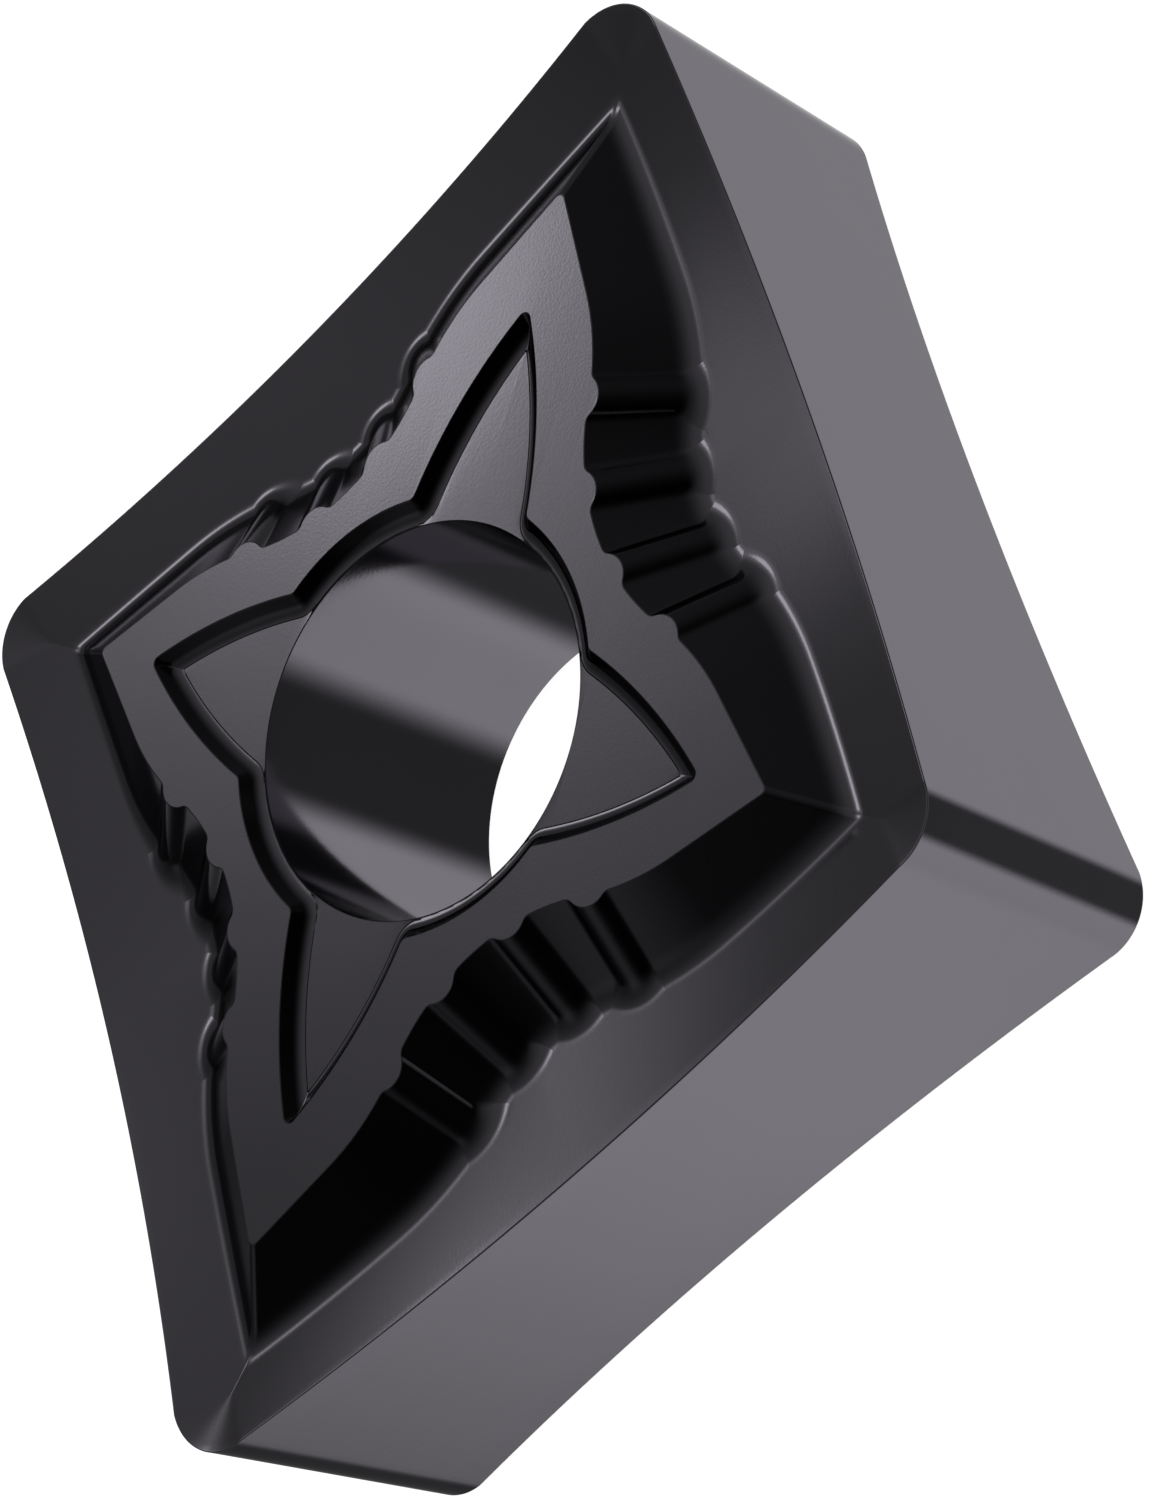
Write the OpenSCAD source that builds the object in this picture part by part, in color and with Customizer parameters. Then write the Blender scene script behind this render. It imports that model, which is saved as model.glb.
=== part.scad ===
// Double-sided rhombic turning insert, 80 degree corners, in one piece of sintered carbide.
// Millimetres. The origin is at the centre of the bore, half way through the thickness.
// +Z is the axis of the bore, +X points at an 80 degree corner and +Y at a 100 degree corner.

/* [Body] */
// Diameter of the circle that touches all four sides
inscribed_circle = 12.7; // [9.5:0.05:19.1]
// Thickness from a cutting corner on one face to the seat of the other face
thickness = 4.76; // [3.6:0.02:7.9]
// Angle of the two sharp corners
corner_angle = 80; // [76:1:86]
// Radius of the four vertical corners
nose_radius = 0.8; // [0.4:0.1:1.2]
// Diameter of the bore through both faces
bore_diameter = 5.16; // [4.2:0.02:5.2]

/* [Cutting edges] */
// Height of the seat above the cutting corners
seat_proud = 0.15; // [0.05:0.01:0.3]
// Dip of each cutting edge at the middle of its side
edge_dip = 0.41; // [0.2:0.01:0.5]
// Rake angle at the middle of a side
rake_mid = 9; // [6:0.5:14]
// Rake angle beside an 80 degree corner
rake_acute = 18.5; // [14:0.5:22]
// Rake angle beside a 100 degree corner
rake_obtuse = 15; // [12:0.5:20]

/* [Seat outline] */
// Offset of the middle of the scalloped stretch from the foot of the bore, towards the sharp corner
scallop_shift = 0.64; // [0.5:0.02:0.8]
// Radius of each scallop at the seat
scallop_radius = 0.31; // [0.24:0.01:0.34]
// Distance of the two inner scallops from the middle of the stretch
inner_scallop = 0.63; // [0.58:0.01:0.68]
// Distance of the two outer scallops from the middle of the stretch
outer_scallop = 1.81; // [1.76:0.01:1.86]
// Distance of the inner scallops from the axis of the bore, square to the side
inner_reach = 3.28; // [3.24:0.01:3.32]
// Distance of the outer scallops from the axis of the bore, square to the side
outer_reach = 3.73; // [3.7:0.01:3.78]
// Radius of the hollow between the scallops
hollow_radius = 3.29; // [3.2:0.01:3.4]
// Distance of the bottom of the hollow from the axis of the bore
hollow_reach = 3.38; // [3.34:0.01:3.4]
// How fast the ribs below the scallops widen
rib_growth = 0.31; // [0.24:0.01:0.36]
// How fast the ribs below the scallops step out from the seat
rib_lean = 0.68; // [0.62:0.01:0.72]
// Distance from the axis of the bore at which the leaning ribs would meet
rib_meeting = 9.7; // [9:0.1:10.5]
// Radius of the fillets beside the scallops
notch_radius = 0.15; // [0.08:0.01:0.18]
// Radius of the shoulder beyond the outer scallops
shoulder_radius = 3.32; // [3.0:0.02:3.6]
// Distance of the shoulder from the axis of the bore, square to the side
shoulder_reach = 4.31; // [4.28:0.01:4.34]
// Distance of the shoulder from the middle of the scalloped stretch
shoulder_shift = 3.37; // [3.34:0.01:3.4]
// Slope of the seat outline against the side, next to the 80 degree corner
slope_acute = 5; // [3:0.5:7]
// Slope of the seat outline against the side, next to the 100 degree corner
slope_obtuse = 8; // [6:0.5:10]
// Radius of the four tips of the seat
tip_radius = 0.08; // [0.04:0.01:0.12]

/* [Seat wall] */
// Slope of the wall that climbs from the chip groove to the seat
wall_angle = 38.5; // [36:0.5:44]
// Height over which the wall and the rake blend at the bottom of the groove
groove_blend = 0.22; // [0.12:0.01:0.26]

/* [Star pocket] */
// Depth of the star-shaped pocket below the seat
pocket_depth = 0.2; // [0.1:0.01:0.26]
// Radius of the ring of the pocket around the bore
pocket_ring = 2.875; // [2.85:0.005:3]
// Reach of the arms that point at the 80 degree corners
long_arm = 5.36; // [5:0.02:5.6]
// Reach of the arms that point at the 100 degree corners
short_arm = 4.82; // [4.5:0.02:5]
// Radius of the bowed sides of the long arms
long_arm_bow = 6.73; // [6:0.1:8]
// Radius of the bowed sides of the short arms
short_arm_bow = 6.88; // [6:0.1:8]
// Half of the angle at which a long arm leaves the ring
long_arm_root = 20.1; // [18:0.1:22]
// Half of the angle at which a short arm leaves the ring
short_arm_root = 25.4; // [23:0.1:27]
// Radius of the four arm tips
arm_tip_radius = 0.1; // [0.06:0.01:0.14]
// Slope of the pocket wall
pocket_wall = 44; // [42:0.5:60]
// Radius of the fillet at the bottom of the pocket wall
pocket_fillet = 0.15; // [0.05:0.01:0.16]

/* [Hidden] */
half = corner_angle / 2;
in_radius = inscribed_circle / 2;
seat_z = (thickness + seat_proud) / 2;
corner_z = (thickness - seat_proud) / 2;
floor_z = seat_z - pocket_depth;
// Unit vectors of the side between the +Y and the +X corner: along it, and out of it
along = [cos(half), -sin(half)];
outward = [sin(half), cos(half)];
// Centres of the two corner radii, and where the straight side begins and ends
acute_centre = [(in_radius - nose_radius) / sin(half), 0];
obtuse_centre = [0, (in_radius - nose_radius) / cos(half)];
side_from = obtuse_centre * along;
side_to = acute_centre * along;
side_mid = (side_from + side_to) / 2;
side_half = (side_to - side_from) / 2;
// Centres of the arcs of the seat outline, as [distance from the middle, depth from the side]
outer_start = [-outer_scallop, in_radius - outer_reach];
inner_start = [-inner_scallop, in_radius - inner_reach];
// The ribs below the scallops lean together, towards a point beyond the cutting edge
lean_to = [0, in_radius - rib_meeting];
hollow_centre = [0, in_radius - hollow_reach - hollow_radius];
shoulder_centre = [-shoulder_shift, in_radius - shoulder_reach + shoulder_radius];
// Steps along each stretch of half a seat outline, from a tip to the middle of the side.
// A fillet of one step lies between two stretches.
TIP = 2;
LINE = 5;
SHOULDER = 3;
SCALLOP = 5;
LINK = 1;
AT_LINE = TIP;
AT_SHOULDER = AT_LINE + LINE;
AT_OUTER = AT_SHOULDER + SHOULDER + 1;
AT_LINK = AT_OUTER + SCALLOP + 1;
AT_INNER = AT_LINK + LINK + 1;
AT_MIDDLE = AT_INNER + SCALLOP + 1;
HALF_STEPS = AT_MIDDLE + 1;
STEPS = 2 * HALF_STEPS;
// Steps of the seat outline that face each corner radius
OBTUSE_STEPS = 4;
ACUTE_STEPS = 5;

function mix(a, b, f) = a + (b - a) * f;
function flip(p) = [-p.x, p.y];
function smooth_max(a, b, k) = max(a, b) + pow(max(k - abs(a - b), 0), 2) / (4 * k);

// A list with each value averaged over its neighbours, up to a few on either side
function total(list, from, to) = from > to ? 0 : list[from] + total(list, from + 1, to);
function smoothed(list, reach) =
    [for (i = [0 : len(list) - 1])
        let (n = min(reach, i, len(list) - 1 - i))
        total(list, i - n, i + n) / (2 * n + 1)];

// The meeting point of two circles, on the left (1) or the right (-1) of the line from a to b
function meet(a, ra, b, rb, hand) =
    let (d = norm(b - a),
         e = (b - a) / d,
         x = (d * d + ra * ra - rb * rb) / (2 * d),
         y = sqrt(max(ra * ra - x * x, 0)))
    a + x * e + hand * y * [-e.y, e.x];

// A point of a circle, at an angle measured from the direction of the cutting edge
function on_circle(c, r, angle) = c + r * [sin(angle), -cos(angle)];
function angle_on(c, p) = atan2(p.x - c.x, c.y - p.y);

// When the outline grows outwards by d its bulges grow too, while its hollows and fillets shrink
function shoulder(d) = shoulder_radius + d;
function scallop(d) = scallop_radius + rib_growth * d;
function hollow(d) = hollow_radius - d;
function leaned(c, d) = c + rib_lean * d * (lean_to - c) / norm(lean_to - c);
function outer_centre(d) = leaned(outer_start, d);
function inner_centre(d) = leaned(inner_start, d);
function fillet(d) = max(notch_radius - d, 0.02);
// Centres of the fillets between the arcs
function shoulder_fillet(d) =
    meet(shoulder_centre, shoulder(d) + fillet(d), outer_centre(d), scallop(d) + fillet(d), -1);
function hollow_fillet(c, d, hand) =
    meet(c, scallop(d) + fillet(d), hollow_centre, hollow(d) - fillet(d), hand);
function scallop_fillet(d) =
    meet(outer_centre(d), scallop(d) + fillet(d), inner_centre(d), scallop(d) + fillet(d), -1);
// The hollow between two scallops shrinks with d, and may close
function link_open(d) =
    hollow_fillet(outer_centre(d), d, 1).x < hollow_fillet(inner_centre(d), d, -1).x;
function link_start(d) = link_open(d) ? hollow_fillet(outer_centre(d), d, 1) : scallop_fillet(d);
function link_stop(d) = link_open(d) ? hollow_fillet(inner_centre(d), d, -1) : scallop_fillet(d);
function middle_start(d) =
    let (p = hollow_fillet(inner_centre(d), d, 1))
    p.x < 0 ? p : [0, p.y];

// A stretch of a bulge, between the fillets with centres p and q
function on_bulge(c, r, p, q, f) =
    on_circle(c, r, mix(angle_on(c, p), angle_on(c, q), f));
// A stretch of the hollow, between the fillets with centres p and q
function in_hollow(d, p, q, f) =
    let (c = hollow_centre,
         a = mix(atan2(p.x - c.x, p.y - c.y), atan2(q.x - c.x, q.y - c.y), f))
    c + hollow(d) * [sin(a), cos(a)];

// From the side's own coordinates to x and y, with the mirrored half at the sharp corner
function to_plan(p, acute) =
    (scallop_shift + (acute ? -p.x : p.x)) * along + (in_radius - p.y) * outward;
function slope_of(acute) = acute ? slope_acute : slope_obtuse;
// The straight end of the outline: where it leaves the shoulder, and the way it faces
function line_end(d, acute) =
    to_plan(on_circle(shoulder_centre, shoulder(d), slope_of(acute)), acute);
function line_facing(acute) =
    (acute ? -1 : 1) * sin(slope_of(acute)) * along + cos(slope_of(acute)) * outward;
// A tip of the outline lies on the X axis or the Y axis
function tip_point(d, acute, f) =
    let (facing = line_facing(acute),
         axis = acute ? [1, 0] : [0, 1],
         turn = acos(facing * axis),
         reach = line_end(d, acute) * facing,
         centre = axis * (reach - tip_radius) / cos(turn),
         a = acute ? turn * f : 90 - turn * f)
    centre + tip_radius * [cos(a), sin(a)];

// One point of half an outline, counted from the tip to the middle of the side
function half_point(i, d, acute) =
    i < AT_LINE ? tip_point(d, acute, i / TIP) :
    i < AT_SHOULDER ?
        mix(tip_point(d, acute, 1), line_end(d, acute), pow((i - AT_LINE) / LINE, 1.7)) :
    to_plan(
        i < AT_OUTER ?
            on_bulge(shoulder_centre, shoulder(d),
                on_circle(shoulder_centre, 1, slope_of(acute)), shoulder_fillet(d),
                (i - AT_SHOULDER) / SHOULDER) :
        i < AT_LINK ?
            on_bulge(outer_centre(d), scallop(d),
                shoulder_fillet(d), link_start(d), (i - AT_OUTER) / SCALLOP) :
        i < AT_INNER ?
            in_hollow(d, link_start(d), link_stop(d), (i - AT_LINK) / LINK) :
        i < AT_MIDDLE ?
            on_bulge(inner_centre(d), scallop(d),
                link_stop(d), middle_start(d), (i - AT_INNER) / SCALLOP) :
            in_hollow(d, middle_start(d), flip(middle_start(d)), (i - AT_MIDDLE) / 2),
        acute);
// One point of the outline, from the tip on the Y axis (0) to the tip on the X axis (STEPS)
function outline(i, d) =
    i <= HALF_STEPS ? half_point(i, d, false) : half_point(STEPS - i, d, true);

// Height of the cutting edge and of the rake face, for the face that looks up
function along_side(p) = (p * along - side_mid) / side_half;
function edge_z(s) = corner_z - edge_dip * (1 - s * s);
function rake_slope(s) =
    mix(tan(rake_mid), tan(s > 0 ? rake_acute : rake_obtuse), pow(min(abs(s), 1), 1.6));
function rake_z(p) =
    let (s = along_side(p),
         centre = s > 0 ? acute_centre : obtuse_centre,
         inward = in_radius - p * outward)
    abs(s) <= 1 ? edge_z(s) - inward * rake_slope(s) :
    corner_z - (nose_radius - norm(p - centre)) * rake_slope(s);
function wall_z(d) = seat_z - d * tan(wall_angle);

// The growth at which the wall of column i reaches the rake, found by halving
function groove_at(i, low = 0, high = 2, steps = 14) =
    let (d = (low + high) / 2)
    steps == 0 ? d :
    wall_z(d) > rake_z(outline(i, d)) ?
        groove_at(i, d, high, steps - 1) :
        groove_at(i, low, d, steps - 1);
groove = smoothed([for (i = [0 : STEPS]) groove_at(i)], 4);
blend_reach = groove_blend / (tan(wall_angle) + tan(rake_mid));
BLEND = [-1.2, -0.7, -0.3, 0.1, 0.5, 1.2];

function with_z(p, z) = [p.x, p.y, z];
function blend_point(i, k) =
    let (d = groove[i] + k * blend_reach,
         p = outline(i, d))
    with_z(p, smooth_max(rake_z(p), wall_z(d), groove_blend));
foot = [for (i = [0 : STEPS]) outline(i, groove[i] + BLEND[len(BLEND) - 1] * blend_reach)];

// The cutting edge point that faces column i
foot_along = smoothed([for (p = foot) p * along], 3);
foot_from = foot_along[OBTUSE_STEPS];
foot_to = foot_along[STEPS - ACUTE_STEPS];
function edge_point(i) =
    i < OBTUSE_STEPS ?
        let (a = 90 - half * i / OBTUSE_STEPS)
        with_z(obtuse_centre + nose_radius * [cos(a), sin(a)], corner_z) :
    i > STEPS - ACUTE_STEPS ?
        let (a = (90 - half) * (STEPS - i) / ACUTE_STEPS)
        with_z(acute_centre + nose_radius * [cos(a), sin(a)], corner_z) :
        let (u = mix(side_from, side_to, (foot_along[i] - foot_from) / (foot_to - foot_from)),
             p = u * along + in_radius * outward)
        with_z(p, edge_z(along_side(p)));
function rake_point(i, f) =
    let (e = edge_point(i),
         p = mix(foot[i], [e.x, e.y], f))
    with_z(p, rake_z(p));

// A quarter from the Y axis to the X axis, mirrored into a closed loop
function loop4(q) =
    let (n = len(q) - 1)
    concat(
        [for (i = [0 : n - 1]) q[i]],
        [for (i = [n : -1 : 1]) [q[i].x, -q[i].y, q[i].z]],
        [for (i = [0 : n - 1]) [-q[i].x, -q[i].y, q[i].z]],
        [for (i = [n : -1 : 1]) [-q[i].x, q[i].y, q[i].z]]);
function under(loop) = [for (p = loop) [p.x, p.y, -p.z]];

// A closed skin over loops that all have the same number of points.
// Each patch is cut along a diagonal that leaves both of its triangles facing the same way.
function turn(p, q, r) = cross([q.x - p.x, q.y - p.y], [r.x - p.x, r.y - p.y]);
function patch(points, a, b, c, d) =
    turn(points[a], points[d], points[c]) * turn(points[a], points[c], points[b]) >= 0 ?
        [[a, d, c], [a, c, b]] :
        [[a, d, b], [b, d, c]];
module skin(loops) {
    m = len(loops[0]);
    last = len(loops) - 1;
    top = [0, 0, loops[0][0].z];
    bottom = [0, 0, loops[last][0].z];
    points = concat([for (loop = loops) each loop], [top, bottom]);
    faces = concat(
        [for (k = [0 : m - 1]) [m * (last + 1), k, (k + 1) % m]],
        [for (j = [0 : last - 1], k = [0 : m - 1])
            let (a = j * m + k, b = j * m + (k + 1) % m, c = b + m, d = a + m)
            each patch(points, a, b, c, d)],
        [for (k = [0 : m - 1]) [m * (last + 1) + 1, last * m + (k + 1) % m, last * m + k]]);
    polyhedron(points, faces, convexity = 8);
}

// The star pocket: a ring around the bore and four pointed arms with bowed sides.
// Each arm is worked out in a frame of its own, with the arm along x.
// The centre of a bowed side, from the sharp tip on the axis and the root on the ring
function bow_centre(reach, root, r) =
    let (tip = [reach, 0],
         foot = pocket_ring * [cos(root), sin(root)],
         chord = foot - tip,
         rise = sqrt(r * r - chord * chord / 4))
    (tip + foot) / 2 + rise * [-chord.y, chord.x] / norm(chord);
short_bow = bow_centre(short_arm, short_arm_root, short_arm_bow);
long_bow = bow_centre(long_arm, long_arm_root, long_arm_bow);
// The angle at which an arm leaves the ring, when the pocket is drawn in by e
function root_angle(bow, r, e) =
    let (p = meet([0, 0], pocket_ring - e, bow, r - e, 1))
    atan2(p.y, p.x);
function far_crossing(c, r, a) =
    let (reach = c * [cos(a), sin(a)])
    reach + sqrt(max(r * r - c * c + reach * reach, 0));
// Distance from the bore's axis to the side of an arm, at an angle to the arm
function arm_reach(bow, r, e, a) =
    let (round = max(arm_tip_radius - e, 0.015),
         tip = [bow.x + sqrt(pow(r - e - round, 2) - bow.y * bow.y), 0],
         touch = bow + (r - e) * (tip - bow) / norm(tip - bow))
    a < atan2(touch.y, touch.x) ? far_crossing(tip, round, a) : far_crossing(bow, r - e, a);
// The pocket has a point in each column of the seat outline. Two columns are kept for the roots.
bearing = smoothed([for (i = [0 : STEPS]) let (p = outline(i, 0)) atan2(p.y, p.x)], 2);
SHORT_ROOT = max([for (i = [0 : STEPS]) if (bearing[i] >= 90 - short_arm_root) i]);
LONG_ROOT = max([for (i = [0 : STEPS]) if (bearing[i] >= long_arm_root) i]);
function pocket_point(i, e) =
    let (short_root = root_angle(short_bow, short_arm_bow, e),
         long_root = root_angle(long_bow, long_arm_bow, e),
         from_y = (90 - bearing[i]) * short_root / (90 - bearing[SHORT_ROOT]),
         from_x = bearing[i] * long_root / bearing[LONG_ROOT],
         between = (bearing[i] - bearing[LONG_ROOT]) / (bearing[SHORT_ROOT] - bearing[LONG_ROOT]),
         a = i <= SHORT_ROOT ? 90 - from_y :
             i >= LONG_ROOT ? from_x : mix(long_root, 90 - short_root, between),
         r = i < SHORT_ROOT ? arm_reach(short_bow, short_arm_bow, e, from_y) :
             i > LONG_ROOT ? arm_reach(long_bow, long_arm_bow, e, from_x) : pocket_ring - e)
    r * [cos(a), sin(a)];
// Section of the pocket wall from the fillet's foot up to the rim, drawn in and up
wall_run = pocket_depth / tan(pocket_wall);
fillet_run = pocket_fillet * tan(pocket_wall / 2);
function fillet_at(a) =
    [wall_run + fillet_run - pocket_fillet * sin(a), floor_z + pocket_fillet * (1 - cos(a))];
pocket_section = [for (f = [0, 0.5, 1]) fillet_at(pocket_wall * f), [0, seat_z]];

// One face, from the pocket floor out to the cutting edge
face_loops = [
    for (s = pocket_section) loop4([for (i = [0 : STEPS]) with_z(pocket_point(i, s[0]), s[1])]),
    loop4([for (i = [0 : STEPS]) with_z(outline(i, 0), seat_z)]),
    for (k = BLEND) loop4([for (i = [0 : STEPS]) blend_point(i, k)]),
    loop4([for (i = [0 : STEPS]) rake_point(i, 0.5)]),
    loop4([for (i = [0 : STEPS]) edge_point(i)])
];
face_count = len(face_loops);

// The rhombic block with both faces formed, before the bore
module blank() {
    skin(concat(face_loops, [for (j = [face_count - 1 : -1 : 0]) under(face_loops[j])]));
}

module insert_body() {
    color([0.24, 0.23, 0.25])
        difference() {
            blank();
            cylinder(h = 2 * thickness, d = bore_diameter, center = true, $fn = 96);
        }
}

insert_body();
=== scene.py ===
import cmath
import math
from collections import namedtuple

import bpy
import numpy as np
from mathutils import Matrix, Vector
from mathutils.geometry import tessellate_polygon


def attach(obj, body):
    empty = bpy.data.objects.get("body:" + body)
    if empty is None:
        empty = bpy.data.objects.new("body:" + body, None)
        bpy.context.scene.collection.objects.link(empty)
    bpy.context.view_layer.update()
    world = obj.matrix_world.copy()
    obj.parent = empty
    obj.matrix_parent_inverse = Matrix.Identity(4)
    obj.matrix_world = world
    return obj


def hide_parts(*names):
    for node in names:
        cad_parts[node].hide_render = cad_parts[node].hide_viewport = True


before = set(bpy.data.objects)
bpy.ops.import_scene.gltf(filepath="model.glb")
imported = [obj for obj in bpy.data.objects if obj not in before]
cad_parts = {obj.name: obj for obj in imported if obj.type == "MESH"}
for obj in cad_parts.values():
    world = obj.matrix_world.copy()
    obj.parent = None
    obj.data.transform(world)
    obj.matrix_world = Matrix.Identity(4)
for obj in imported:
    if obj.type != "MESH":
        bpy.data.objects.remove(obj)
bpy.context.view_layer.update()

# Rhombic turning insert. Shapes are worked out in millimetres, in the frame of the CAD part:
# +Z is the axis of the bore, +X points at an 80 degree corner and +Y at a 100 degree corner.
# A point of the plan is a complex number, x + y i.
MM = 0.001

# Plan of the body: inscribed circle, rounding of the corners, bore, and half of each corner's angle
IN_RADIUS = 6.35
NOSE_R = 0.8
BORE_R = 2.58
ACUTE_HALF, OBTUSE_HALF = 40, 50

# Heights of the seat, the cutting corners and the pocket's floor, and how far an edge sags
SEAT_Z = 2.455
CORNER_Z = 2.305
FLOOR_Z = 2.255
EDGE_DIP = 0.41

# Slope of the rake face in the middle of a side and at its corners, and how late it turns between
RAKE_MID, RAKE_ACUTE, RAKE_OBTUSE = (math.tan(math.radians(a)) for a in (9, 18.5, 15))
RAKE_TURN = 1.6

# Slope of the seat's wall, and the blend of wall and rake face in the groove
WALL = math.tan(math.radians(38.5))
BLEND = 0.18

# Roundings of the seat's and the pocket's rim, the bore's rim and the cutting edge
SEAT_RIM = 0.01
BORE_RIM = 0.012
HONE = 0.02


def dot(a, b):
    return a.real * b.real + a.imag * b.imag


def mix(a, b, f):
    return a + (b - a) * f


def spread(low, high, n):
    return [low + (high - low) * i / (n - 1) for i in range(n)]


def heading(degrees):
    """The direction at an angle from +X in the plan, one unit long."""
    return cmath.rect(1, math.radians(degrees))


# A side: the way along it to the sharp corner, the way it faces, and the centres of its two corners
ALONG = heading(-ACUTE_HALF)
OUTWARD = ALONG * 1j
ACUTE_C = complex((IN_RADIUS - NOSE_R) / OUTWARD.real, 0)
OBTUSE_C = complex(0, (IN_RADIUS - NOSE_R) / OUTWARD.imag)
SIDE_FROM, SIDE_TO = dot(OBTUSE_C, ALONG), dot(ACUTE_C, ALONG)
SIDE_MID, SIDE_HALF = (SIDE_FROM + SIDE_TO) / 2, (SIDE_TO - SIDE_FROM) / 2

# Half the seat's outline has a frame of its own: x runs from the corner to the middle of the ribs,
# where it is 0, and y runs inwards from the side. RIBS_AT is the middle's place along the side.
Circle = namedtuple("Circle", "centre radius")
RIBS_AT = 0.64
SHOULDER_R, RIB_R, HOLLOW_R = 3.32, 0.31, 3.29
SHOULDER = Circle(complex(-3.37, 2.04 + SHOULDER_R), SHOULDER_R)
OUTER_RIB = Circle(complex(-1.81, 2.62), RIB_R)
INNER_RIB = Circle(complex(-0.63, 3.07), RIB_R)
HOLLOW = Circle(complex(0, 2.97 - HOLLOW_R), HOLLOW_R)
NOTCH_R, LEAST_NOTCH_R = 0.15, 0.02

# Down the wall the ribs run towards RIBS_TO. Each has its foot this far out from the seat's rim,
# and beyond it the rib flares at the rate FLARE, with a soft start.
RIBS_TO = complex(0, -3.35)
OUTER_FOOT, INNER_FOOT, FLARE, FLARE_SOFT = 0.87, 0.96, 1.37, 0.03

# The straight part of an arm: its angle to the side, and the rounding of the arm's tip
ACUTE_ARM_ANGLE, OBTUSE_ARM_ANGLE = 5.0, 8.0
ARM_END_R = 0.08


def grown(circle, by):
    return Circle(circle.centre, circle.radius + by)


def meet(a, b, hand):
    """Where two circles meet, to the left (1) or right (-1) of the way from a to b."""
    apart = abs(b.centre - a.centre)
    way = (b.centre - a.centre) / apart
    x = (apart * apart + a.radius * a.radius - b.radius * b.radius) / (2 * apart)
    return a.centre + x * way + hand * math.sqrt(max(a.radius * a.radius - x * x, 0)) * 1j * way


def on_circle(circle, degrees):
    """A point of a circle, at an angle from the way out to the side."""
    a = math.radians(degrees)
    return circle.centre + circle.radius * complex(math.sin(a), -math.cos(a))


def angle_on(circle, p):
    """The angle on the circle at which on_circle has a point towards p."""
    return math.degrees(math.atan2(p.real - circle.centre.real, circle.centre.imag - p.imag))


def flared(d, foot):
    """How far a rib has flared out. It keeps its width down the wall and flares at the foot."""
    t = d - foot
    if abs(t) > FLARE_SOFT:
        return FLARE * max(t, 0)
    return FLARE * ((t + FLARE_SOFT) ** 2 / (4 * FLARE_SOFT))


def leaned(rib, d, flare):
    """A rib of the outline grown outwards by d. Its radius grows only by its flare."""
    way = (RIBS_TO - rib.centre) / abs(RIBS_TO - rib.centre)
    return Circle(rib.centre + (d - flare) * way, rib.radius + flare)


def arcs(d):
    """The circles of half an outline grown outwards by d, the radius of the fillets between them,
    and the fillets' centres: shoulder to outer rib, both ends of the link, inner rib to hollow."""
    outer_flare, inner_flare = flared(d, OUTER_FOOT), flared(d, INNER_FOOT)
    outer, inner = leaned(OUTER_RIB, d, outer_flare), leaned(INNER_RIB, d, inner_flare)
    shoulder, hollow = grown(SHOULDER, d), grown(HOLLOW, -d)
    r = max(NOTCH_R - inner_flare, LEAST_NOTCH_R)
    a = meet(grown(shoulder, r), grown(outer, r), -1)
    b = meet(grown(outer, r), grown(hollow, -r), 1)
    c = meet(grown(inner, r), grown(hollow, -r), -1)
    if b.real >= c.real:
        b = c = meet(grown(outer, r), grown(inner, r), -1)
    e = meet(grown(inner, r), grown(hollow, -r), 1)
    if e.real > 0:
        e = complex(0, e.imag)
    return shoulder, outer, inner, hollow, r, (a, b, c, e)


def to_plan(p, acute):
    """A point of half an outline in the plan. The half at the sharp corner is mirrored."""
    u = RIBS_AT + (-p.real if acute else p.real)
    return u * ALONG + (IN_RADIUS - p.imag) * OUTWARD


def arm_angle(acute):
    return ACUTE_ARM_ANGLE if acute else OBTUSE_ARM_ANGLE


def line_end(d, acute):
    """Where the straight part of an arm meets its shoulder."""
    return to_plan(on_circle(grown(SHOULDER, d), arm_angle(acute)), acute)


def tip_point(d, acute, f):
    """A point of the rounding at the end of an arm, from the axis (0) to the straight part (1)."""
    angle = math.radians(arm_angle(acute))
    facing = (-1 if acute else 1) * math.sin(angle) * ALONG + math.cos(angle) * OUTWARD
    axis = complex(1, 0) if acute else complex(0, 1)
    turn = math.degrees(math.acos(dot(facing, axis)))
    centre = axis * (dot(line_end(d, acute), facing) - ARM_END_R) / math.cos(math.radians(turn))
    return centre + ARM_END_R * heading(turn * f if acute else 90 - turn * f)


def hollow_touch(p, hollow):
    """Where a fillet centred at p touches the hollow."""
    way = p - hollow.centre
    return hollow.centre + hollow.radius * way / abs(way)


# The stretches of half an outline, from an arm's tip to the middle, and the points in each
STRETCHES = [("tip", 6), ("line", 26), ("shoulder", 12), ("fillet_a", 5), ("outer", 15),
             ("fillet_b", 4), ("link", 5), ("fillet_c", 4), ("inner", 15), ("fillet_e", 4),
             ("middle", 3)]
LINE_CROWDING = 1.5


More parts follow.
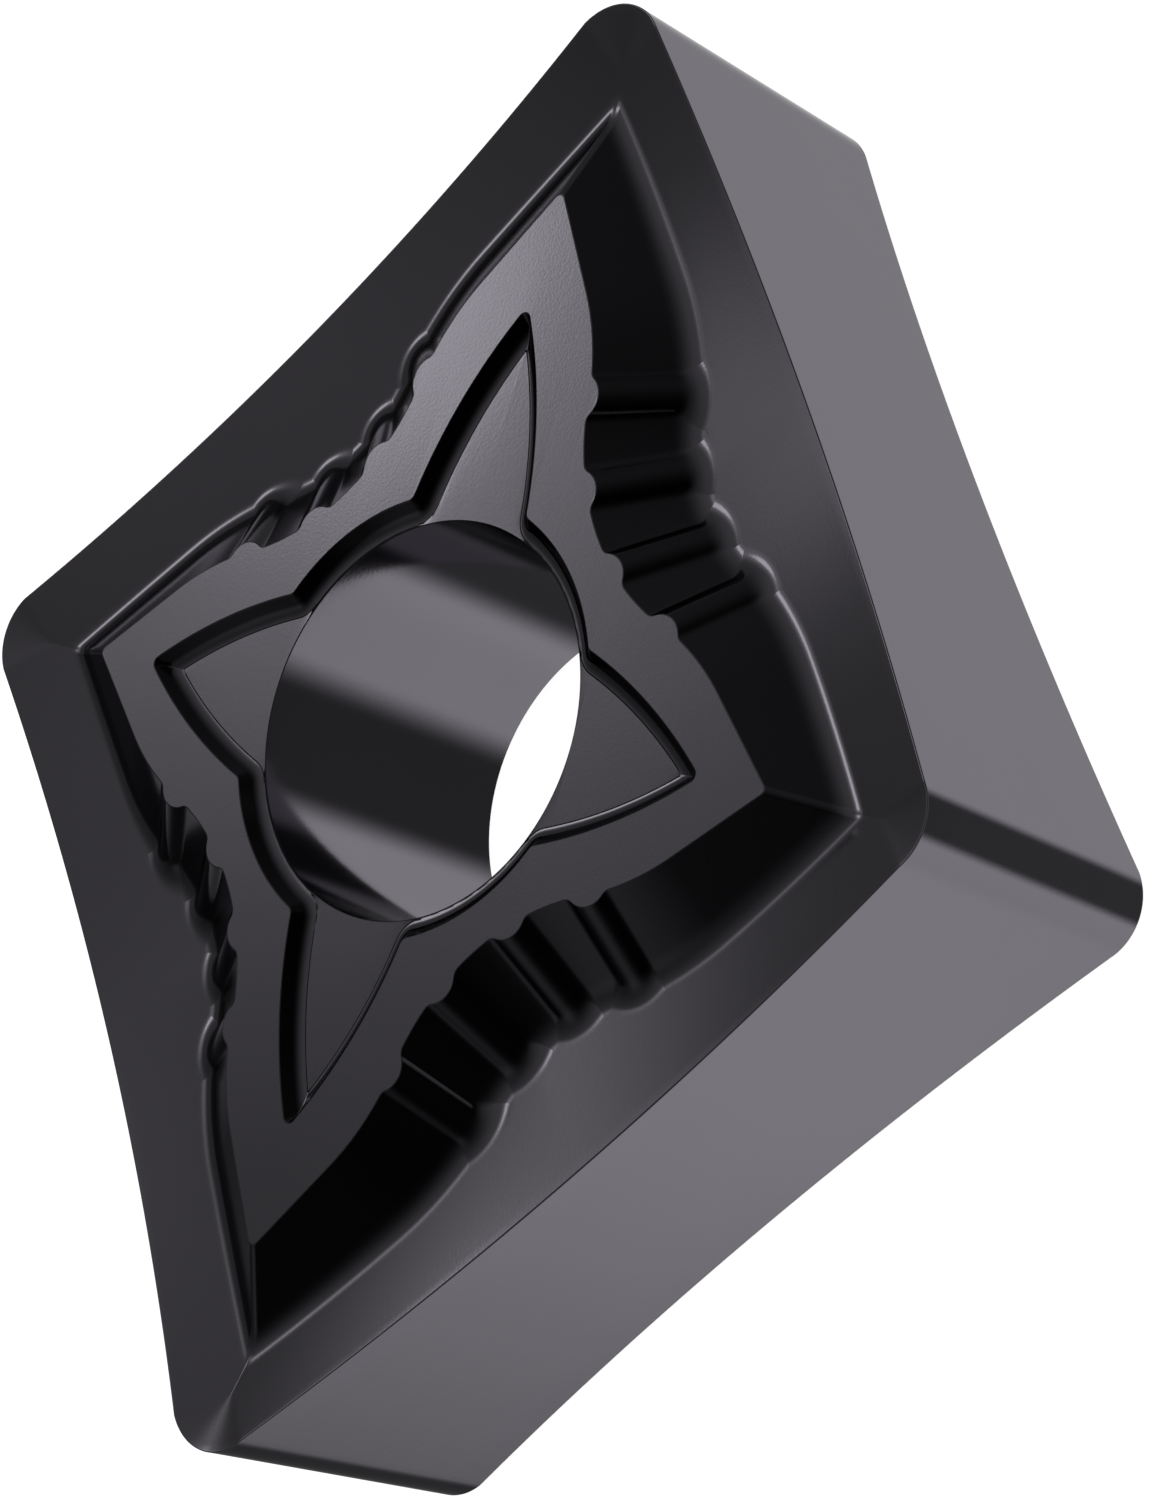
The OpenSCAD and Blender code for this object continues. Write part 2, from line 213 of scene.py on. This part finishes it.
def half_point(stretch, f, d, acute):
    """The point at the share f of a stretch, on half an outline grown outwards by d."""
    if stretch == "tip":
        return tip_point(d, acute, f)
    if stretch == "line":
        return mix(tip_point(d, acute, 1), line_end(d, acute), f ** LINE_CROWDING)
    shoulder, outer, inner, hollow, r, (a, b, c, e) = arcs(d)

    def bulge(circle, p, q):
        return on_circle(circle, mix(angle_on(circle, p), angle_on(circle, q), f))

    def notch(centre, p, q):
        start = cmath.phase(p - centre)
        turn = cmath.phase(q - centre) - start
        turn = (turn + math.pi) % (2 * math.pi) - math.pi
        return centre + cmath.rect(r, start + turn * f)

    def in_hollow(p, q):
        start, end = (math.atan2(k.real, k.imag - hollow.centre.imag) for k in (p, q))
        w = mix(start, end, f)
        return hollow.centre + hollow.radius * complex(math.sin(w), math.cos(w))

    # Where the ribs have grown together, the link between them shrinks to a point
    parted = b != c
    link_start = hollow_touch(b, hollow) if parted else inner.centre
    link_end = hollow_touch(c, hollow) if parted else inner.centre
    point = {
        "shoulder": lambda: bulge(shoulder, on_circle(SHOULDER, arm_angle(acute)), a),
        "fillet_a": lambda: notch(a, shoulder.centre, outer.centre),
        "outer": lambda: bulge(outer, a, b),
        "fillet_b": lambda: notch(b, outer.centre, link_start),
        "link": lambda: in_hollow(b, c) if parted else notch(b, link_start, link_end),
        "fillet_c": lambda: notch(c, link_end, inner.centre),
        "inner": lambda: bulge(inner, c, e),
        "fillet_e": lambda: notch(e, inner.centre, hollow_touch(e, hollow)),
        "middle": lambda: in_hollow(e, complex(0, e.imag)),
    }[stretch]
    return to_plan(point(), acute)


# A column is (stretch, share of it, whether it is in the half at the sharp corner). The columns of
# a quarter run from the blunt corner's arm, through the ribs, to the sharp corner's arm.
HALF_COLUMNS = [(name, i / n) for name, n in STRETCHES for i in range(n)]
COLUMNS = [(name, f, False) for name, f in HALF_COLUMNS] + [("middle", 1.0, False)]
COLUMNS += [(name, f, True) for name, f in reversed(HALF_COLUMNS)]
LAST = len(COLUMNS) - 1


def outline(i, d):
    """The point of column i on the seat's outline grown outwards by d."""
    stretch, f, acute = COLUMNS[i]
    return half_point(stretch, f, d, acute)


def edge_z(s):
    """Height of the cutting edge, from s = -1 at the blunt corner to 1 at the sharp one."""
    return CORNER_Z - EDGE_DIP * (1 - s * s)


def rake_slope(s):
    return mix(RAKE_MID, RAKE_ACUTE if s > 0 else RAKE_OBTUSE, min(abs(s), 1) ** RAKE_TURN)


def rake_z(p):
    """Height of the rake face, which falls inwards from the edge and round the corners."""
    s = (dot(p, ALONG) - SIDE_MID) / SIDE_HALF
    if abs(s) <= 1:
        return edge_z(s) - (IN_RADIUS - dot(p, OUTWARD)) * rake_slope(s)
    centre = ACUTE_C if s > 0 else OBTUSE_C
    return CORNER_Z - (NOSE_R - abs(p - centre)) * rake_slope(s)


def wall_z(d):
    return SEAT_Z - d * WALL


def rim_z(d):
    """Height of the seat's rim, with a small rounding between the seat and its wall."""
    if d <= -SEAT_RIM:
        return SEAT_Z
    if d >= SEAT_RIM:
        return wall_z(d)
    return SEAT_Z - (d + SEAT_RIM) ** 2 / (4 * SEAT_RIM) * WALL


def smooth_max(a, b, soft):
    return max(a, b) + max(soft - abs(a - b), 0) ** 2 / (4 * soft)


def smoothed(values, reach):
    """Running means, over fewer neighbours near the two ends."""
    means = []
    for i in range(len(values)):
        n = min(reach, i, len(values) - 1 - i)
        means.append(sum(values[i - n:i + n + 1]) / (2 * n + 1))
    return means


# The wall meets the rake face within this distance. The line where it does, and the foot of the
# rake face, are smoothed over this many columns to each side.
GROOVE_WITHIN, HALVINGS = 2.0, 20
GROOVE_SMOOTHING, FOOT_SMOOTHING = 9, 8
GROOVE_MARGIN = 1.2


def groove_at(i):
    """How far out from the seat's rim the wall of column i meets the rake face."""
    low, high = 0.0, GROOVE_WITHIN
    for _ in range(HALVINGS):
        d = (low + high) / 2
        if wall_z(d) > rake_z(outline(i, d)):
            low = d
        else:
            high = d
    return (low + high) / 2


# The blend lies within GROOVE_REACH of the groove's line, and the rake face starts beyond it
GROOVE = smoothed([groove_at(i) for i in range(LAST + 1)], GROOVE_SMOOTHING)
GROOVE_REACH = GROOVE_MARGIN * BLEND / (WALL + RAKE_MID)
FOOT = [outline(i, GROOVE[i] + GROOVE_REACH) for i in range(LAST + 1)]
FOOT_ALONG = smoothed([dot(p, ALONG) for p in FOOT], FOOT_SMOOTHING)

# Columns whose place on the edge is in a corner's rounding
IN_OBTUSE, IN_ACUTE = 13, 15


def edge_place(i):
    """The cutting edge above column i, and the way the side faces there."""
    if i < IN_OBTUSE:
        facing = heading(90 - ACUTE_HALF * i / IN_OBTUSE)
        return OBTUSE_C + NOSE_R * facing, facing
    if i > LAST - IN_ACUTE:
        facing = heading(OBTUSE_HALF * (LAST - i) / IN_ACUTE)
        return ACUTE_C + NOSE_R * facing, facing
    first, last = FOOT_ALONG[IN_OBTUSE], FOOT_ALONG[LAST - IN_ACUTE]
    f = (FOOT_ALONG[i] - first) / (last - first)
    return mix(SIDE_FROM, SIDE_TO, f) * ALONG + IN_RADIUS * OUTWARD, OUTWARD


def rim_point(i, d):
    p = outline(i, d)
    return p.real, p.imag, rim_z(d)


def groove_point(i, d):
    """A point of the wall or the groove, where the higher of wall and rake face shows."""
    p = outline(i, d)
    return p.real, p.imag, smooth_max(rake_z(p), wall_z(d), BLEND)


def rake_point(i, f):
    edge, facing = edge_place(i)
    p = mix(FOOT[i], edge - HONE * facing, f)
    return p.real, p.imag, rake_z(p)


def hone_point(i, t):
    """A point of the small rounding that takes the rake face over the edge into the flank."""
    edge, facing = edge_place(i)
    start, top = edge - HONE * facing, rake_z(edge)
    p = mix(mix(start, edge, t), edge, t)
    return p.real, p.imag, mix(mix(rake_z(start), top, t), mix(top, top - HONE, t), t)


RIM_ROWS, WALL_ROWS, GROOVE_ROWS, RAKE_ROWS, HONE_ROWS = 5, 8, 13, 11, 4


def outer_quarter():
    """Rows of one quarter from the seat's rim to the cutting edge, as lists of (x, y, z)."""
    every = range(LAST + 1)
    rows = [[rim_point(i, d) for i in every] for d in spread(-SEAT_RIM, SEAT_RIM, RIM_ROWS)]
    for f in spread(0, 1, WALL_ROWS)[1:-1]:
        rows.append([groove_point(i, mix(SEAT_RIM, GROOVE[i] - GROOVE_REACH, f)) for i in every])
    for away in spread(-GROOVE_REACH, GROOVE_REACH, GROOVE_ROWS):
        rows.append([groove_point(i, GROOVE[i] + away) for i in every])
    rows += [[rake_point(i, f) for i in every] for f in spread(0, 1, RAKE_ROWS)[1:-1]]
    rows += [[hone_point(i, t) for i in every] for t in spread(0, 1, HONE_ROWS)]
    return rows


# The star pocket is a ring around the bore and four pointed arms with bowed sides. An arm has the
# reach of its sharp point, the angle where its side leaves the ring, and the radius of that side.
Arm = namedtuple("Arm", "reach root bow")
SHORT_ARM = Arm(4.82, 25.4, 6.88)
LONG_ARM = Arm(5.36, 20.1, 6.73)
RING_R = 2.875
ROOT_R = 0.12
ARM_TIP_R, LEAST_TIP_R = 0.1, 0.012
POCKET_SLOPE = math.radians(50)
POCKET_FILLET = 0.22

# Steps along half an arm and its share of the ring, and rows down the pocket's wall
ON_TIP, ON_SIDE, ON_ROOT, ON_RING = 6, 26, 8, 12
POCKET_FILLET_ROWS, POCKET_RIM_ROWS = 9, 4


def arc(centre, radius, start, end, n):
    """Points of an arc from start to end in n steps, without the last. It turns the short way."""
    end += 2 * math.pi * round((start - end) / (2 * math.pi))
    return [centre + cmath.rect(radius, mix(start, end, i / n)) for i in range(n)]


def bow_centre(arm):
    """The centre of an arm's bowed side, which runs from the arm's point to the ring."""
    foot = RING_R * heading(arm.root)
    chord = foot - arm.reach
    rise = math.sqrt(arm.bow ** 2 - abs(chord) ** 2 / 4)
    return (arm.reach + foot) / 2 + rise * 1j * chord / abs(chord)


def arm_points(arm, e, ring_to):
    """Half an arm and its share of the ring, drawn in by e: from its tip to the angle ring_to."""
    bow = bow_centre(arm)
    bow_r, tip_r = arm.bow - e, max(ARM_TIP_R - e, LEAST_TIP_R)
    tip = complex(bow.real + math.sqrt((bow_r - tip_r) ** 2 - bow.imag ** 2), 0)
    root = meet(Circle(0j, RING_R + ROOT_R), Circle(bow, arm.bow + ROOT_R), 1)
    end = math.radians(ring_to)
    points = arc(tip, tip_r, 0.0, cmath.phase(tip - bow), ON_TIP)
    points += arc(bow, bow_r, cmath.phase(tip - bow), cmath.phase(root - bow), ON_SIDE)
    points += arc(root, ROOT_R + e, cmath.phase(bow - root), cmath.phase(-root), ON_ROOT)
    points += arc(0j, RING_R - e, cmath.phase(root), end, ON_RING)
    return points + [cmath.rect(RING_R - e, end)]


def pocket_quarter(e):
    """A quarter of the pocket's outline drawn in by e, from the Y axis to the X axis."""
    middle = (LONG_ARM.root + 90 - SHORT_ARM.root) / 2
    short = arm_points(SHORT_ARM, e, 90 - middle)
    long = arm_points(LONG_ARM, e, middle)
    return [complex(p.imag, p.real) for p in short] + long[-2::-1]


def pocket_section():
    """How far each loop of the pocket is drawn in, and its height."""
    run = (SEAT_Z - FLOOR_Z) / math.tan(POCKET_SLOPE)
    foot = run + POCKET_FILLET * math.tan(POCKET_SLOPE / 2)
    section = [(foot - POCKET_FILLET * math.sin(a), FLOOR_Z + POCKET_FILLET * (1 - math.cos(a)))
               for a in spread(0, POCKET_SLOPE, POCKET_FILLET_ROWS)]
    for e in spread(SEAT_RIM, -SEAT_RIM, POCKET_RIM_ROWS):
        drop = (e + SEAT_RIM) ** 2 / (4 * SEAT_RIM) * math.tan(POCKET_SLOPE)
        section.append((e, SEAT_Z - drop))
    return section


BORE_POINTS = 144
BORE_RIM_SHARES = (1.0, 0.7, 0.35, 0.0)
FLANK_SHARES = (0.85, 0.5, 0.15)


def bore_loops():
    """Loops of the bore's rounded rim, from the pocket's floor down into the bore."""
    turns = [2 * math.pi * k / BORE_POINTS for k in range(BORE_POINTS)]
    loops = []
    for share in BORE_RIM_SHARES:
        a = math.pi / 2 * share
        r = BORE_R + BORE_RIM * (1 - math.cos(a))
        z = FLOOR_Z - BORE_RIM * (1 - math.sin(a))
        loops.append([(r * math.sin(w), r * math.cos(w), z) for w in turns])
    return loops


def mirrored(quarter):
    """A closed loop from a quarter that runs from the Y axis to the X axis."""
    ahead, back = quarter[:-1], quarter[:0:-1]
    return (ahead + [(x, -y, z) for x, y, z in back] + [(-x, -y, z) for x, y, z in ahead]
            + [(-x, y, z) for x, y, z in back])


class Skin:
    """The points and faces of a mesh, built up from closed loops."""

    def __init__(self):
        self.points = []
        self.faces = []

    def loop(self, points):
        start = len(self.points)
        self.points.extend(points)
        return list(range(start, start + len(points)))

    def bridge(self, outer, inner):
        """A band of four-sided faces between two loops of as many points. They turn inwards."""
        for k in range(len(outer)):
            j = (k + 1) % len(outer)
            self.faces.append((outer[k], outer[j], inner[j], inner[k]))

    def fill(self, outer, inner):
        """A flat ring between two loops, as triangles that face up, out of the part."""
        places = [[Vector(self.points[k]) for k in ids] for ids in (outer, inner)]
        ids = outer + inner
        for corners in tessellate_polygon(places):
            face = [ids[k] for k in corners]
            p, q, r = (Vector(self.points[k]) for k in face)
            if (q - p).cross(r - p).z < 0:
                face.reverse()
            self.faces.append(tuple(face))

    def mirror_down(self):
        """Add the mirror image below. Returns how far its points are from those above."""
        count = len(self.points)
        self.points += [(x, y, -z) for x, y, z in self.points]
        self.faces += [tuple(k + count for k in reversed(face)) for face in self.faces]
        return count

    def mesh(self, name):
        mesh = bpy.data.meshes.new(name)
        mesh.from_pydata([tuple(c * MM for c in p) for p in self.points], [], self.faces)
        mesh.validate()
        mesh.update()
        return mesh


def build_insert():
    """The upper face from the bore to the edge, its mirror image, and the flank and the bore."""
    skin = Skin()
    bore = [skin.loop(points) for points in bore_loops()]
    pocket = [skin.loop(mirrored([(p.real, p.imag, z) for p in pocket_quarter(e)]))
              for e, z in pocket_section()]
    seat_to_edge = [skin.loop(mirrored(row)) for row in outer_quarter()]
    for loops in (bore[::-1], pocket, seat_to_edge):
        for inner, outer in zip(loops, loops[1:]):
            skin.bridge(outer, inner)
    skin.fill(pocket[0], bore[0])
    skin.fill(seat_to_edge[0], pocket[-1])

    below = skin.mirror_down()
    top = seat_to_edge[-1]
    bottom = [k + below for k in top]
    previous = top
    for share in FLANK_SHARES:
        ring = skin.loop([tuple(mix(low, high, share) for low, high in zip(skin.points[b], skin.points[t]))
                          for t, b in zip(top, bottom)])
        skin.bridge(ring, previous)
        previous = ring
    skin.bridge(bottom, previous)
    skin.bridge(bore[-1], [k + below for k in bore[-1]])
    return skin.mesh("insert_body_fine")


def soften(mesh):
    """Smooth shading in which the larger faces keep their own direction: a point's normal is the
    mean over the triangles that meet there, by their area and the angle of their corner."""
    place = np.zeros(len(mesh.vertices) * 3)
    mesh.vertices.foreach_get("co", place)
    place = place.reshape(-1, 3) / MM
    mesh.calc_loop_triangles()
    tri = np.zeros(len(mesh.loop_triangles) * 3, dtype=np.int32)
    mesh.loop_triangles.foreach_get("vertices", tri)
    tri = tri.reshape(-1, 3)
    a, b, c = (place[tri[:, k]] for k in range(3))
    facing = np.cross(b - a, c - a)
    normal = np.zeros_like(place)
    tiny = 1e-12
    for k, (p, q, r) in enumerate(((a, b, c), (b, c, a), (c, a, b))):
        u, v = q - p, r - p
        lengths = np.linalg.norm(u, axis=1) * np.linalg.norm(v, axis=1) + tiny
        corner = np.arccos(np.clip((u * v).sum(1) / lengths, -1, 1))
        np.add.at(normal, tri[:, k], facing * corner[:, None])
    normal /= np.linalg.norm(normal, axis=1)[:, None] + tiny
    mesh.shade_smooth()
    mesh.normals_split_custom_set_from_vertices([tuple(v) for v in normal])


def add_node(tree, kind, values=(), **settings):
    """A shader node. Its settings are made before the values of its inputs."""
    node = tree.nodes.new("ShaderNode" + kind)
    for name, value in settings.items():
        setattr(node, name, value)
    for name, value in dict(values).items():
        node.inputs[name].default_value = value
    return node


def new_material(name):
    material = bpy.data.materials.new(name)
    material.use_nodes = True
    material.node_tree.nodes.clear()
    return material, material.node_tree


# Colour, tint at grazing angles, roughness and bump of the coating, and the sizes of its patterns
COAT_DARK, COAT_PALE = (0.165, 0.156, 0.178, 1), (0.175, 0.166, 0.188, 1)
GRAZING_TINT = (0.62, 0.62, 0.62, 1)
SMOOTHEST, ROUGHEST = 0.085, 0.125
BUMP = {"Strength": 0.02, "Distance": 0.00002}
DRIFT = {"Scale": 420.0, "Detail": 3.0}
GRAIN = {"Scale": 26000.0, "Detail": 4.0}


def coated_carbide():
    """Dark grey coated metal, faintly violet. Its colour drifts, and the grain below shows a little."""
    material, tree = new_material("coated_carbide")
    join = tree.links.new
    out = add_node(tree, "OutputMaterial")
    shader = add_node(tree, "BsdfPrincipled", {"Metallic": 1.0, "Specular Tint": GRAZING_TINT})
    join(shader.outputs["BSDF"], out.inputs["Surface"])
    place = add_node(tree, "TexCoord").outputs["Object"]

    drift = add_node(tree, "TexNoise", DRIFT)
    join(place, drift.inputs["Vector"])
    tint = add_node(tree, "Mix", {"A": COAT_DARK, "B": COAT_PALE}, data_type="RGBA")
    join(drift.outputs["Fac"], tint.inputs["Factor"])
    join(tint.outputs["Result"], shader.inputs["Base Color"])

    grain = add_node(tree, "TexNoise", GRAIN)
    join(place, grain.inputs["Vector"])
    rough = add_node(tree, "MapRange", {"To Min": SMOOTHEST, "To Max": ROUGHEST})
    join(grain.outputs["Fac"], rough.inputs["Value"])
    join(rough.outputs["Result"], shader.inputs["Roughness"])
    bump = add_node(tree, "Bump", BUMP)
    join(grain.outputs["Fac"], bump.inputs["Height"])
    join(bump.outputs["Normal"], shader.inputs["Normal"])
    return material


insert_mesh = build_insert()
soften(insert_mesh)
insert = bpy.data.objects.new("insert_body_fine", insert_mesh)
bpy.context.scene.collection.objects.link(insert)
insert.data.materials.append(coated_carbide())
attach(insert, "root")
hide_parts("insert_body")

# Half the width of the square floor in metres, its colour, and how it glows to the camera
FLOOR_HALF = 3.0
FLOOR_GREY = (0.8, 0.8, 0.8, 1)
FLOOR_GLOW = 0.95


def floor_material():
    """Pale floor: white to the camera, and a little darker in the insert's shadow."""
    material, tree = new_material("pale_floor")
    join = tree.links.new
    diffuse = add_node(tree, "BsdfDiffuse", {"Color": FLOOR_GREY})
    path = add_node(tree, "LightPath")
    share = add_node(tree, "Math", {1: FLOOR_GLOW}, operation="MULTIPLY")
    join(path.outputs["Is Camera Ray"], share.inputs[0])
    glow = add_node(tree, "Emission")
    join(share.outputs[0], glow.inputs["Strength"])
    both = add_node(tree, "AddShader")
    join(diffuse.outputs[0], both.inputs[0])
    join(glow.outputs[0], both.inputs[1])
    join(both.outputs[0], add_node(tree, "OutputMaterial").inputs["Surface"])
    return material


floor_mesh = bpy.data.meshes.new("floor")
floor_corners = ((-1, -1), (1, -1), (1, 1), (-1, 1))
floor_mesh.from_pydata([(x * FLOOR_HALF, y * FLOOR_HALF, -SEAT_Z * MM) for x, y in floor_corners],
                       [], [(0, 1, 2, 3)])
floor = bpy.data.objects.new("floor", floor_mesh)
bpy.context.scene.collection.objects.link(floor)
floor.data.materials.append(floor_material())
floor.visible_glossy = False

# The studio that the metal mirrors. A brightness of 1 is white, and angles are in degrees.
# Dark gaps in the sweep: azimuth, half width, softness, and the share of the light that is left
GAPS = ((119.5, 37.5, 11, 0.08), (-37, 37, 12, 0.12))
# Soft glows: azimuth, elevation, brightness, width
GLOWS = ((-105.7, 40, 0.69, 8.5), (-93.5, 35.5, 0.24, 3.5), (-100.5, 44, 0.2, 3.8),
         (-122.6, 58.7, 0.195, 36.6), (-101.6, -5.5, 0.125, 39.8), (-23, 33, 0.09, 19.2),
         (11, -51.5, 0.13, 9))
# Smooth steps over the height of a direction, -1 to 1: from, to, brightness before and after
SWEEP_TOP, SWEEP_FOOT = (-0.7, -0.56, 1.0, 0.0), (-0.81, -0.73, 0.14, 0.0)
BAND_FOOT, BAND_TOP = (-0.66, -0.54, 0.0, 0.38), (-0.35, 0.1, 1.0, 0.0)
FRONT_FOOT, FRONT_TOP = (-0.3, 0.0, 0.0, 1.0), (0.25, 0.5, 1.0, 0.0)
# The same over the cosine of the angle to a place: the lift of the sweep, and the fill in front
LIFT_AT, LIFT = (178, -60), (0.35, 1.0, 1.0, 1.1)
FRONT_AT, FRONT = (83, 0), (0.2, 0.6, 0.0, 0.25)
# Brightness of the world as soft light
PLAIN_LIGHT = 0.12


def unit(azimuth, elevation):
    a, e = math.radians(azimuth), math.radians(elevation)
    return Vector((math.cos(e) * math.cos(a), math.cos(e) * math.sin(a), math.sin(e)))


def studio():
    """White to the camera, and plain and dim to soft light. In reflections it is a white sweep
    below the horizon with two dark gaps, a dim band over it, a weak fill in front, and soft glows."""
    world = bpy.data.worlds.new("studio")
    world.use_nodes = True
    bpy.context.scene.world = world
    tree = world.node_tree
    tree.nodes.clear()
    join = tree.links.new

    def calc(operation, *operands):
        node = add_node(tree, "Math", operation=operation)
        for k, operand in enumerate(operands):
            if isinstance(operand, (int, float)):
                node.inputs[k].default_value = operand
            else:
                join(operand, node.inputs[k])
        return node.outputs[0]

    def product(first, *others):
        for other in others:
            first = calc("MULTIPLY", first, other)
        return first

    def total(first, *others):
        for other in others:
            first = calc("ADD", first, other)
        return first

    def vector(operation, value, other=None):
        node = add_node(tree, "VectorMath", {} if other is None else {1: other}, operation=operation)
        join(value, node.inputs[0])
        return node

    def towards(value, azimuth, elevation):
        """Cosine of the angle between a direction and a place in the studio."""
        return vector("DOT_PRODUCT", value, unit(azimuth, elevation)).outputs["Value"]

    def step(value, low, high, before, after):
        node = add_node(tree, "MapRange", {"From Min": low, "From Max": high, "To Min": before,
                                           "To Max": after}, interpolation_type="SMOOTHSTEP")
        join(value, node.inputs["Value"])
        return node.outputs["Result"]

    way = add_node(tree, "TexCoord").outputs["Generated"]
    level = vector("NORMALIZE", vector("MULTIPLY", way, (1, 1, 0)).outputs[0]).outputs[0]
    parts = add_node(tree, "SeparateXYZ")
    join(way, parts.inputs[0])
    height = parts.outputs["Z"]

    def gap(azimuth, half_width, soft, left):
        near, far = (math.cos(math.radians(half_width + k * soft)) for k in (-1, 1))
        return step(towards(level, azimuth, 0), far, near, 1.0, left)

    def glow(azimuth, elevation, brightness, width):
        """A bright spot that falls off with the square of the angle."""
        angle = calc("ARCCOSINE", calc("MINIMUM", towards(way, azimuth, elevation), 1.0))
        share = calc("POWER", calc("DIVIDE", angle, math.radians(width)), 2.0)
        return product(calc("EXPONENT", product(share, -1.0)), brightness)

    sweep = product(*(gap(*place) for place in GAPS), step(towards(way, *LIFT_AT), *LIFT))
    sweep = product(calc("MAXIMUM", sweep, step(height, *SWEEP_FOOT)), step(height, *SWEEP_TOP))
    band = product(step(height, *BAND_FOOT), step(height, *BAND_TOP))
    front = product(step(towards(level, *FRONT_AT), *FRONT), step(height, *FRONT_TOP),
                    step(height, *FRONT_FOOT))
    reflected = total(sweep, band, front, *(glow(*place) for place in GLOWS))

    path = add_node(tree, "LightPath")
    glossy, camera = path.outputs["Is Glossy Ray"], path.outputs["Is Camera Ray"]
    plain = product(calc("SUBTRACT", 1.0, total(glossy, camera)), PLAIN_LIGHT)
    back = add_node(tree, "Background", {"Color": (1, 1, 1, 1)})
    join(total(plain, camera, product(glossy, reflected)), back.inputs["Strength"])
    join(back.outputs[0], add_node(tree, "OutputWorld").inputs["Surface"])


def back_along(way):
    """The turn that points the back of a light or camera along a direction."""
    return way.to_track_quat("Z", "Y").to_matrix().to_4x4()


def panel(name, azimuth, elevation, distance, width, brightness, glossy=True):
    """A round softbox that faces the insert. Lengths are in metres."""
    light = bpy.data.lights.new(name, "AREA")
    light.shape = "DISK"
    light.size = width
    light.energy = brightness * math.pi * math.pi * width ** 2 / 4
    softbox = bpy.data.objects.new(name, light)
    way = unit(azimuth, elevation)
    softbox.matrix_world = Matrix.Translation(way * distance) @ back_along(way)
    bpy.context.scene.collection.objects.link(softbox)
    softbox.visible_glossy = glossy


# The key is a disc that the metal mirrors, KEY_HALF degrees from its centre to its rim
KEY_DISTANCE, KEY_HALF = 0.5, 5.1

studio()
panel("softbox_key", -105.6, 39.8, KEY_DISTANCE, 2 * KEY_DISTANCE * math.tan(math.radians(KEY_HALF)), 1.1)
panel("softbox_top", 0, 90, 0.6, 0.6, 0.6, glossy=False)

# The camera as fitted to the photo: its place in mm, the azimuth and elevation that its back faces
# and its roll in degrees, and its focal length and centre of view in pixels of the picture
CAMERA_AT = Vector((4.1435, 35.3591, 38.7193))
CAMERA_WAY, CAMERA_ROLL = (84.77882, 46.79462), -69.84403
PICTURE_W, PICTURE_H = 1152, 1500
FOCAL = 4083.11
CENTRE_X, CENTRE_Y = 466.26, 814.64
SENSOR_MM = 36.0

cam_data = bpy.data.cameras.new("camera")
cam_data.sensor_fit = "HORIZONTAL"
cam_data.sensor_width = SENSOR_MM
cam_data.lens = SENSOR_MM * FOCAL / PICTURE_W
cam_data.shift_x = (PICTURE_W / 2 - CENTRE_X) / PICTURE_W
cam_data.shift_y = (CENTRE_Y - PICTURE_H / 2) / PICTURE_W
cam_data.clip_start = 0.004
cam_data.clip_end = 20
cam = bpy.data.objects.new("camera", cam_data)
cam.matrix_world = (Matrix.Translation(CAMERA_AT * MM) @ back_along(unit(*CAMERA_WAY))
                    @ Matrix.Rotation(math.radians(CAMERA_ROLL), 4, "Z"))
bpy.context.scene.collection.objects.link(cam)
bpy.context.scene.camera = cam
bpy.context.scene.view_settings.view_transform = "Standard"
